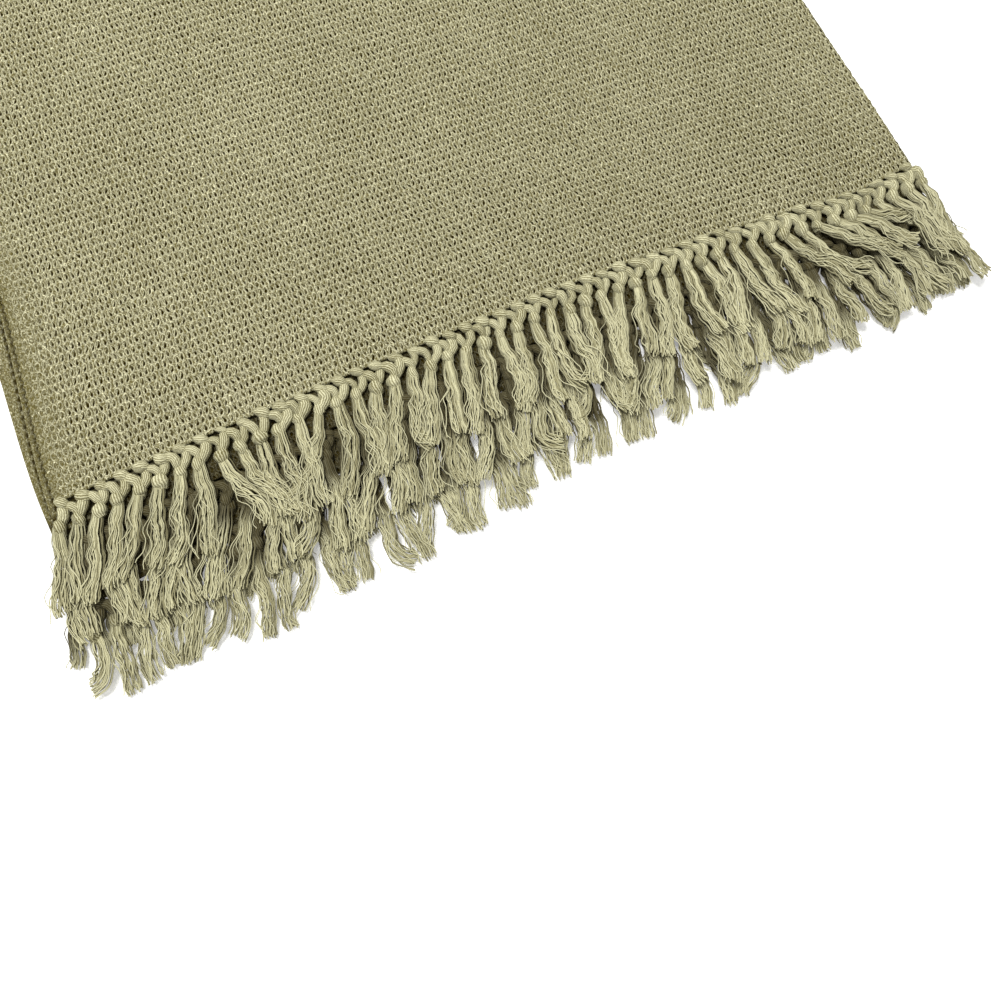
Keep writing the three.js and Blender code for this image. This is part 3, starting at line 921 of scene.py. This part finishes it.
# %% Sizes of a tassel
YARN_POINTS = 22
BUNDLE_AT = [0, 0.12, 0.35, 0.7, 1]  # places along a tassel
BUNDLE_WIDTH = [6.0, 8.0, 10.0, 10.8, 11.2]
BUNDLE_HEIGHT = [5.0, 5.4, 5.4, 4.8, 4.2]
BUNDLE_MIDDLE = 2.3  # above what it lies on
BREADTH = (0.9, 1.2)
LEAN_SPREAD = 6.0  # degrees, as are the sway and the curls
LEAN_AT_KNOT = 0.7
LEAN_GROWS = (0.0, 0.25)
SWAY = (6.0, 16.0)
SWAYS_IN_LENGTH = (0.8, 1.7)
END_CURL = 15.0
SHARP_CURL = 50.0
SHARP_CURL_SHARE = 0.08
CURL_GROWS = (0.55, 1.05)
TWIST = (0.3, 1.4)  # radians
TWIST_GROWS = (0.05, 1.1)
TWIST_START = 0.35
LIFT = (-0.3, 1.4)
SWEPT_LIFT = 3.0
SWEPT_LEAN = (30.0, 55.0)
CORNER_LIFT = 5.0  # of the three top tassels next to the long fold
STRAY_REACH = 4.5
STRAY_AT_SELVEDGE = 0.3
STRAY_GROWS = (10.0, 60.0)
DUSK_SHADE = 0.12  # towards the long fold
DUSK_FROM = (460.0, 580.0)

KNOT_ENDS = (0.04, 0.3)

along_yarn = np.linspace(0, 1, YARN_POINTS)
free_of_knot = smooth(along_yarn, *KNOT_ENDS)
print("steps of a tassel's walk:", YARN_POINTS)


# %% The form of one tassel
def tassel_form(row, row_number, k, seed):
    """Where a tassel starts, and how its bundle runs, widens, turns and rests along its length."""
    middle = ROW_START + (k + 0.5) * row_pitch(row)
    from_selvedge = row_width(row) - middle
    is_top = not row["covered"]
    share = np.interp(from_selvedge, SHARE_PLACES, LENGTH_SHARE_TOP if is_top else LENGTH_SHARE)
    lean = np.interp(from_selvedge, LEAN_PLACES, LEAN_TOP if is_top else LEAN) + seed.normal(0, LEAN_SPREAD)
    sway = seed.uniform(*SWAY)
    sways = seed.uniform(*SWAYS_IN_LENGTH)
    sway_start = seed.uniform(0, 2 * math.pi)
    curl_at_end = seed.normal(0, END_CURL)
    if seed.uniform() < SHARP_CURL_SHARE:
        curl_at_end += SHARP_CURL * seed.choice([-1, 1])
    broad = seed.uniform(*BREADTH)
    twist = seed.choice([-1, 1]) * seed.uniform(*TWIST)
    lift = seed.uniform(*LIFT) + SWEPT_LIFT * smooth(lean, *SWEPT_LEAN) + CORNER_LIFT * (is_top and k < 2)
    crimp_start = seed.uniform(0, 2 * math.pi)

    leaned = lean * (LEAN_AT_KNOT + (1 - LEAN_AT_KNOT) * smooth(along_yarn, *LEAN_GROWS))
    swayed = free_of_knot * sway * np.sin(2 * math.pi * sways * along_yarn + sway_start)
    heading = np.radians(leaned + curl_at_end * smooth(along_yarn, *CURL_GROWS) + swayed)
    between = (heading[1:] + heading[:-1]) / 2
    strays = STRAY_AT_SELVEDGE + (1 - STRAY_AT_SELVEDGE) * smooth(from_selvedge, *STRAY_GROWS)
    return {
        "middle": middle,
        "length": (LOCK_LENGTH + LENGTH_SPREAD * spread(k, row_number, 1)) * share,
        "heading": heading,
        "walk_right": np.concatenate([[0], np.cumsum(np.sin(between))]) / (YARN_POINTS - 1),
        "walk_out": np.concatenate([[0], np.cumsum(np.cos(between))]) / (YARN_POINTS - 1),
        "half_width": np.interp(along_yarn, BUNDLE_AT, BUNDLE_WIDTH) * broad / 2,
        "half_height": np.interp(along_yarn, BUNDLE_AT, BUNDLE_HEIGHT) / 2,
        "turned": twist * (smooth(along_yarn, *TWIST_GROWS) - TWIST_START),
        "rest": np.interp(along_yarn, UNDER_AT, row["under"]) + BUNDLE_MIDDLE + lift * free_of_knot,
        "crimp_start": crimp_start,
        "stray_reach": STRAY_REACH * strays,
        "dusk": DUSK_SHADE * smooth(from_selvedge, *DUSK_FROM),
    }


print("length of a tassel in mm:", LOCK_LENGTH, "give or take", LENGTH_SPREAD)

# %% [markdown]
# The yarns lie in three levels, arched like the bundle that they fill. A yarn that lies deep or at the
# side of its bundle gets a shade, and so does one that the rows above cover, because gaps between fine
# yarns stay too light otherwise.

# %% Sizes of the yarns
YARN_RADIUS = 0.57
YARNS_IN_LEVEL = [13, 8, 1]  # from the top of a tassel down
LEVEL_HEIGHT = [0.8, 0.0, -0.8]  # in half heights of the bundle
LEVEL_WIDTH = [0.86, 1.0, 0.86]
LEVEL_ARCH = 0.75
LEAST_ARCH = 0.1
SIDE_SPREAD = 0.09
HEIGHT_SPREAD = 0.08
OWN_LENGTH_SPREAD = 0.022
INSIDE_KNOT = 4.0
CRIMP_LENGTH = 12.5
CRIMP_LENGTH_SPREAD = 0.06
CRIMP_START_SPREAD = 0.4
CRIMP_REACH = (0.25, 0.75)
CRIMP_HEIGHT = 0.3
CRIMP_HEIGHT_PACE = 0.9
STRAYS = 4
STRAY_RADIUS_SHARE = 0.6
STRAY_LIFT = 1.2
STRAY_WAVE = 1.6
STRAY_WAVE_PACE = 0.6
STRAY_LEAVES = (0.15, 0.9)
COVER_LIFTS = 0.8  # share of a row's shade that its tassels lose towards their ends
COVER_LIFTS_AT = (0.55, 0.95)
SIDE_SHADE = 0.6
SIDE_SHADE_FROM = (0.5, 1.0)
SIDE_SHADE_ENDS = (0.6, 1.0)
DEEP_SHADE = 0.36
DEEP_SHADE_BELOW = (-0.7, 0.5)
print("yarns of a tassel:", sum(YARNS_IN_LEVEL) + STRAYS)


# %% Yarns of one tassel
def yarn_shade(row, form, placed, across, upward):
    """How dark the points of a yarn are: 0 where they lie open."""
    row_shade = shade_of(row, placed) * (1 - COVER_LIFTS * smooth(along_yarn, *COVER_LIFTS_AT))
    side_shade = SIDE_SHADE * smooth(np.abs(across), *SIDE_SHADE_FROM)
    side_shade = side_shade * (1 - smooth(along_yarn, *SIDE_SHADE_ENDS))
    deep_shade = DEEP_SHADE * (1 - smooth(upward, *DEEP_SHADE_BELOW))
    return 1 - (1 - row_shade) * (1 - deep_shade) * (1 - side_shade) * (1 - form["dusk"])


def yarn_line(row, form, level, sideways, stray, seed):
    """One yarn of a tassel, as points, thickness, tint, shade and a mark for a cord."""
    own = (form["length"] + INSIDE_KNOT) * (1 + seed.normal(0, OWN_LENGTH_SPREAD))
    waves = own / CRIMP_LENGTH * seed.normal(1, CRIMP_LENGTH_SPREAD)
    crimp = 2 * math.pi * waves * along_yarn + form["crimp_start"] + seed.normal(0, CRIMP_START_SPREAD)
    arch = math.sqrt(max(1 - LEVEL_ARCH * sideways**2, LEAST_ARCH))
    arched = LEVEL_HEIGHT[level] * arch + seed.normal(0, HEIGHT_SPREAD)
    across = sideways * np.cos(form["turned"]) - arched * np.sin(form["turned"])
    upward = sideways * np.sin(form["turned"]) + arched * np.cos(form["turned"])
    beside = across * form["half_width"] + free_of_knot * seed.uniform(*CRIMP_REACH) * np.sin(crimp)
    high = form["rest"] + upward * form["half_height"]
    high = high + CRIMP_HEIGHT * free_of_knot * np.cos(crimp * CRIMP_HEIGHT_PACE)
    if stray:
        beside = beside + seed.normal(0, form["stray_reach"]) * smooth(along_yarn, *STRAY_LEAVES)
        beside = beside + STRAY_WAVE * free_of_knot * np.sin(crimp * STRAY_WAVE_PACE)
        high = high + STRAY_LIFT * free_of_knot
    reach = KNOT_REACH - INSIDE_KNOT + own * form["walk_out"] - beside * np.sin(form["heading"])
    side = own * form["walk_right"] + beside * np.cos(form["heading"])
    high = np.maximum(high, FLOOR_CLEARANCE * YARN_RADIUS)
    placed = fringe_points(row, form["middle"] - side, reach, high)
    thick = YARN_RADIUS * (STRAY_RADIUS_SHARE if stray else 1.0) * np.ones(YARN_POINTS)
    tint = 1.0 if stray else seed.uniform(0, 1)
    return placed, thick, tint, yarn_shade(row, form, placed, across, upward), False


def tassel_lines(row, form, seed):
    """The yarns of one tassel. Its strays start from the top level."""
    lines = []
    for level, count in enumerate(YARNS_IN_LEVEL):
        for n in range(count + (STRAYS if level == 0 else 0)):
            even = 2 * (n % count + 0.5) / count - 1
            sideways = LEVEL_WIDTH[level] * even + seed.normal(0, SIDE_SPREAD)
            lines.append(yarn_line(row, form, level, sideways, n >= count, seed))
    return lines


# %% [markdown]
# ## Spin yarn round the lines
# A small Geometry Nodes tree turns every line into a closed tube. Cords are rounder than single yarns, so
# the tree parts the lines by a stored mark and sweeps each kind with a profile of its own. It also
# stores how far round the tube a point lies, so that the finish can draw the strands of a cord.

# %% The tree that spins yarn
spin_tree = bpy.data.node_groups.new("spin_yarn", "GeometryNodeTree")
spin_tree.interface.new_socket("Lines", in_out="INPUT", socket_type="NodeSocketGeometry")
spin_tree.interface.new_socket("Yarn sides", in_out="INPUT", socket_type="NodeSocketInt")
spin_tree.interface.new_socket("Cord sides", in_out="INPUT", socket_type="NodeSocketInt")
spin_tree.interface.new_socket("Finish", in_out="INPUT", socket_type="NodeSocketMaterial")
spin_tree.interface.new_socket("Yarn", in_out="OUTPUT", socket_type="NodeSocketGeometry")
spin_in = add_node(spin_tree, "NodeGroupInput").outputs
is_cord = add_node(spin_tree, "GeometryNodeInputNamedAttribute", {"Name": "cord"}, data_type="BOOLEAN")
thickness = add_node(spin_tree, "GeometryNodeInputNamedAttribute", {"Name": "thickness"}, data_type="FLOAT")
parted = add_node(
    spin_tree,
    "GeometryNodeSeparateGeometry",
    {"Geometry": spin_in["Lines"], "Selection": is_cord.outputs["Attribute"]},
)
joined = add_node(spin_tree, "GeometryNodeJoinGeometry")
for kind_of_line, sides in (("Inverted", "Yarn sides"), ("Selection", "Cord sides")):
    path = add_node(spin_tree, "GeometryNodeMeshToCurve", {"Mesh": parted.outputs[kind_of_line]})
    ring_inputs = {"Resolution": spin_in[sides], "Radius": 1.0}
    ring = add_node(spin_tree, "GeometryNodeCurvePrimitiveCircle", ring_inputs)
    round_it = add_node(spin_tree, "GeometryNodeSplineParameter")
    marked = add_node(
        spin_tree,
        "GeometryNodeStoreNamedAttribute",
        {"Geometry": ring.outputs["Curve"], "Name": "round", "Value": round_it.outputs["Factor"]},
        data_type="FLOAT",
        domain="POINT",
    )
    swept = add_node(
        spin_tree,
        "GeometryNodeCurveToMesh",
        {
            "Curve": path.outputs["Curve"],
            "Profile Curve": marked.outputs["Geometry"],
            "Scale": thickness.outputs["Attribute"],
            "Fill Caps": True,
        },
    )
    spin_tree.links.new(swept.outputs["Mesh"], joined.inputs["Geometry"])
soft = add_node(spin_tree, "GeometryNodeSetShadeSmooth", {"Geometry": joined.outputs["Geometry"]})
real = add_node(spin_tree, "GeometryNodeRealizeInstances", {"Geometry": soft.outputs["Geometry"]})
finished = add_node(
    spin_tree,
    "GeometryNodeSetMaterial",
    {"Geometry": real.outputs["Geometry"], "Material": spin_in["Finish"]},
)
add_node(spin_tree, "NodeGroupOutput", {"Yarn": finished.outputs["Geometry"]})
print("spin tree nodes:", len(spin_tree.nodes))

# %% [markdown]
# ## The finish of the yarn
# Single yarns of the same cotton look a little lighter than the cloth, because nothing presses them flat.
# Each yarn has its own tint, and the cords show the lines of the strands that make them up. The fuzz of
# cotton is too fine to show, so it is drawn more than a millimetre wide.

# %% Twisted cotton yarn
YARN_LIGHT = "#dad6b0"
FUZZ_SIZE = 1.43  # in mm
STRAND_WIDTH = 1.3
USUAL_CORD_RADIUS = 3.1
STRANDS_ROUND = round(2 * math.pi * USUAL_CORD_RADIUS / STRAND_WIDTH)
STRAND_FUZZ = 0.9  # how far the fuzz bends the strands, in strands

cotton_yarn, yarn, yarn_shader = start_material("cotton_yarn", {"Roughness": 0.9, "Specular IOR Level": 0.08})
stored = {}
for name in ("tint", "round", "along", "cord", "shade"):
    stored[name] = add_node(yarn, "ShaderNodeAttribute", attribute_name=name).outputs["Fac"]
fuzz_inputs = {
    "Vector": add_node(yarn, "ShaderNodeTexCoord").outputs["Object"],
    "Scale": 1000 / FUZZ_SIZE,
    "Detail": 2.0,
}
fuzz = add_node(yarn, "ShaderNodeTexNoise", fuzz_inputs).outputs["Fac"]
strands = add_up(yarn, stored["along"], [(stored["round"], float(STRANDS_ROUND)), (fuzz, STRAND_FUZZ)])
round_strands = add_node(yarn, MATH, (strands, 2 * math.pi), operation="MULTIPLY")
strand_wave = add_node(yarn, MATH, (round_strands,), operation="COSINE")
cord_lines = add_node(yarn, MATH, (strand_wave, stored["cord"]), operation="MULTIPLY")
print("strands round a cord:", STRANDS_ROUND)

# %% Colour and bump of the yarn
TINT_START = 0.12
TINT_WEIGHT = 0.63
STRAND_WEIGHT = 0.4
FUZZ_WEIGHT = 0.3
SHADE_WEIGHT = 0.84
STRAND_HEIGHT = 0.5
FUZZ_DEPTH = 0.5  # in mm

tint_parts = [(stored["tint"], TINT_WEIGHT), (cord_lines, STRAND_WEIGHT), (fuzz, FUZZ_WEIGHT)]
yarn_mix = add_node(
    yarn,
    "ShaderNodeMix",
    {
        "Factor": add_up(yarn, TINT_START, tint_parts),
        FIRST_COLOUR: linear(YARN_MIDDLE),
        SECOND_COLOUR: linear(YARN_LIGHT),
    },
    data_type="RGBA",
).outputs[MIXED_COLOUR]
# painted shade: the stored shade darkens yarn that lies deep in its bundle, at its sides, under the rows
# above and towards the long fold
covered = add_node(yarn, MATH, (stored["shade"], SHADE_WEIGHT), operation="MULTIPLY")
yarn_dark = add_node(
    yarn,
    "ShaderNodeMix",
    {"Factor": covered, FIRST_COLOUR: yarn_mix, SECOND_COLOUR: linear(PAINTED_SHADE_COLOUR)},
    data_type="RGBA",
).outputs[MIXED_COLOUR]
yarn.links.new(yarn_dark, yarn_shader.inputs["Base Color"])
strand_height = add_up(yarn, fuzz, [(cord_lines, STRAND_HEIGHT)])
yarn_bump = add_node(
    yarn, "ShaderNodeBump", {"Height": strand_height, "Strength": 0.7, "Distance": FUZZ_DEPTH / 1000}
)
yarn.links.new(yarn_bump.outputs[0], yarn_shader.inputs["Normal"])
print("yarn nodes:", len(yarn.nodes))

# %% Lines as a mesh, and yarn from lines
YARN_SIDES = 3
CORD_SIDES = 7


def line_mesh(name, lines):
    """A mesh of bare lines, with the thickness, tint, shade and kind of each stored on its points."""
    sizes = np.array([len(points) for points, *_ in lines])
    numbers = np.arange(sizes.sum())
    last = np.cumsum(sizes) - 1
    starts = np.setdiff1d(numbers, last)
    mesh = bpy.data.meshes.new(name)
    points = in_row_frame(np.concatenate([points for points, *_ in lines]))
    mesh.from_pydata(points.tolist(), np.stack([starts, starts + 1], axis=1).tolist(), [])
    values_by_name = {
        "thickness": np.concatenate([thick for _, thick, *_ in lines]) / 1000,
        "tint": np.repeat([tint for _, _, tint, _, _ in lines], sizes),
        "shade": np.concatenate([shade for *_, shade, _ in lines]),
        "along": np.concatenate([np.linspace(0, 1, size) for size in sizes]),
        "cord": np.repeat([mark for *_, mark in lines], sizes),
    }
    for key, values in values_by_name.items():
        layer = mesh.attributes.new(key, "BOOLEAN" if key == "cord" else "FLOAT", "POINT")
        layer.data.foreach_set("value", values.astype(bool if key == "cord" else np.float32))
    return mesh


def spin(name, lines):
    """Sweeps the lines into yarn and returns the plain mesh object."""
    strung = bpy.data.objects.new(name + "_lines", line_mesh(name + "_lines", lines))
    bpy.context.scene.collection.objects.link(strung)
    modifier = strung.modifiers.new("spin", "NODES")
    modifier.node_group = spin_tree
    inputs = {item.name: item.identifier for item in spin_tree.interface.items_tree if item.in_out == "INPUT"}
    modifier[inputs["Yarn sides"]] = YARN_SIDES
    modifier[inputs["Cord sides"]] = CORD_SIDES
    modifier[inputs["Finish"]] = cotton_yarn
    evaluated = strung.evaluated_get(bpy.context.evaluated_depsgraph_get())
    mesh = bpy.data.meshes.new_from_object(evaluated)
    bpy.data.objects.remove(strung)
    made = bpy.data.objects.new(name, mesh)
    bpy.context.scene.collection.objects.link(made)
    return made


print("sides of a yarn and of a cord:", YARN_SIDES, CORD_SIDES)

# %% Spin the four rows
FRINGE_SEED = 100

fringes = []
for number, row in enumerate(ROWS, start=1):
    fringe_seed = np.random.default_rng(FRINGE_SEED + number)
    lines = net_lines(row, fringe_seed)
    for k in range(-1, LOCKS_A_ROW + 1):
        lines += tassel_lines(row, tassel_form(row, number, k, fringe_seed), fringe_seed)
    fringes.append(spin("yarn_" + row["name"], lines))
    fringes[-1].data.calc_loop_triangles()
    print(fringes[-1].name, "triangles:", len(fringes[-1].data.loop_triangles))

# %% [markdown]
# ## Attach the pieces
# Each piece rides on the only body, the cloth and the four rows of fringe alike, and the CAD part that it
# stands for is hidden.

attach(throw, "root")
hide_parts("blanket")
for made, row in zip(fringes, ROWS):
    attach(made, "root")
    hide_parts(row["name"])

cloth_mesh.calc_loop_triangles()
print("cloth triangles:", len(cloth_mesh.loop_triangles))
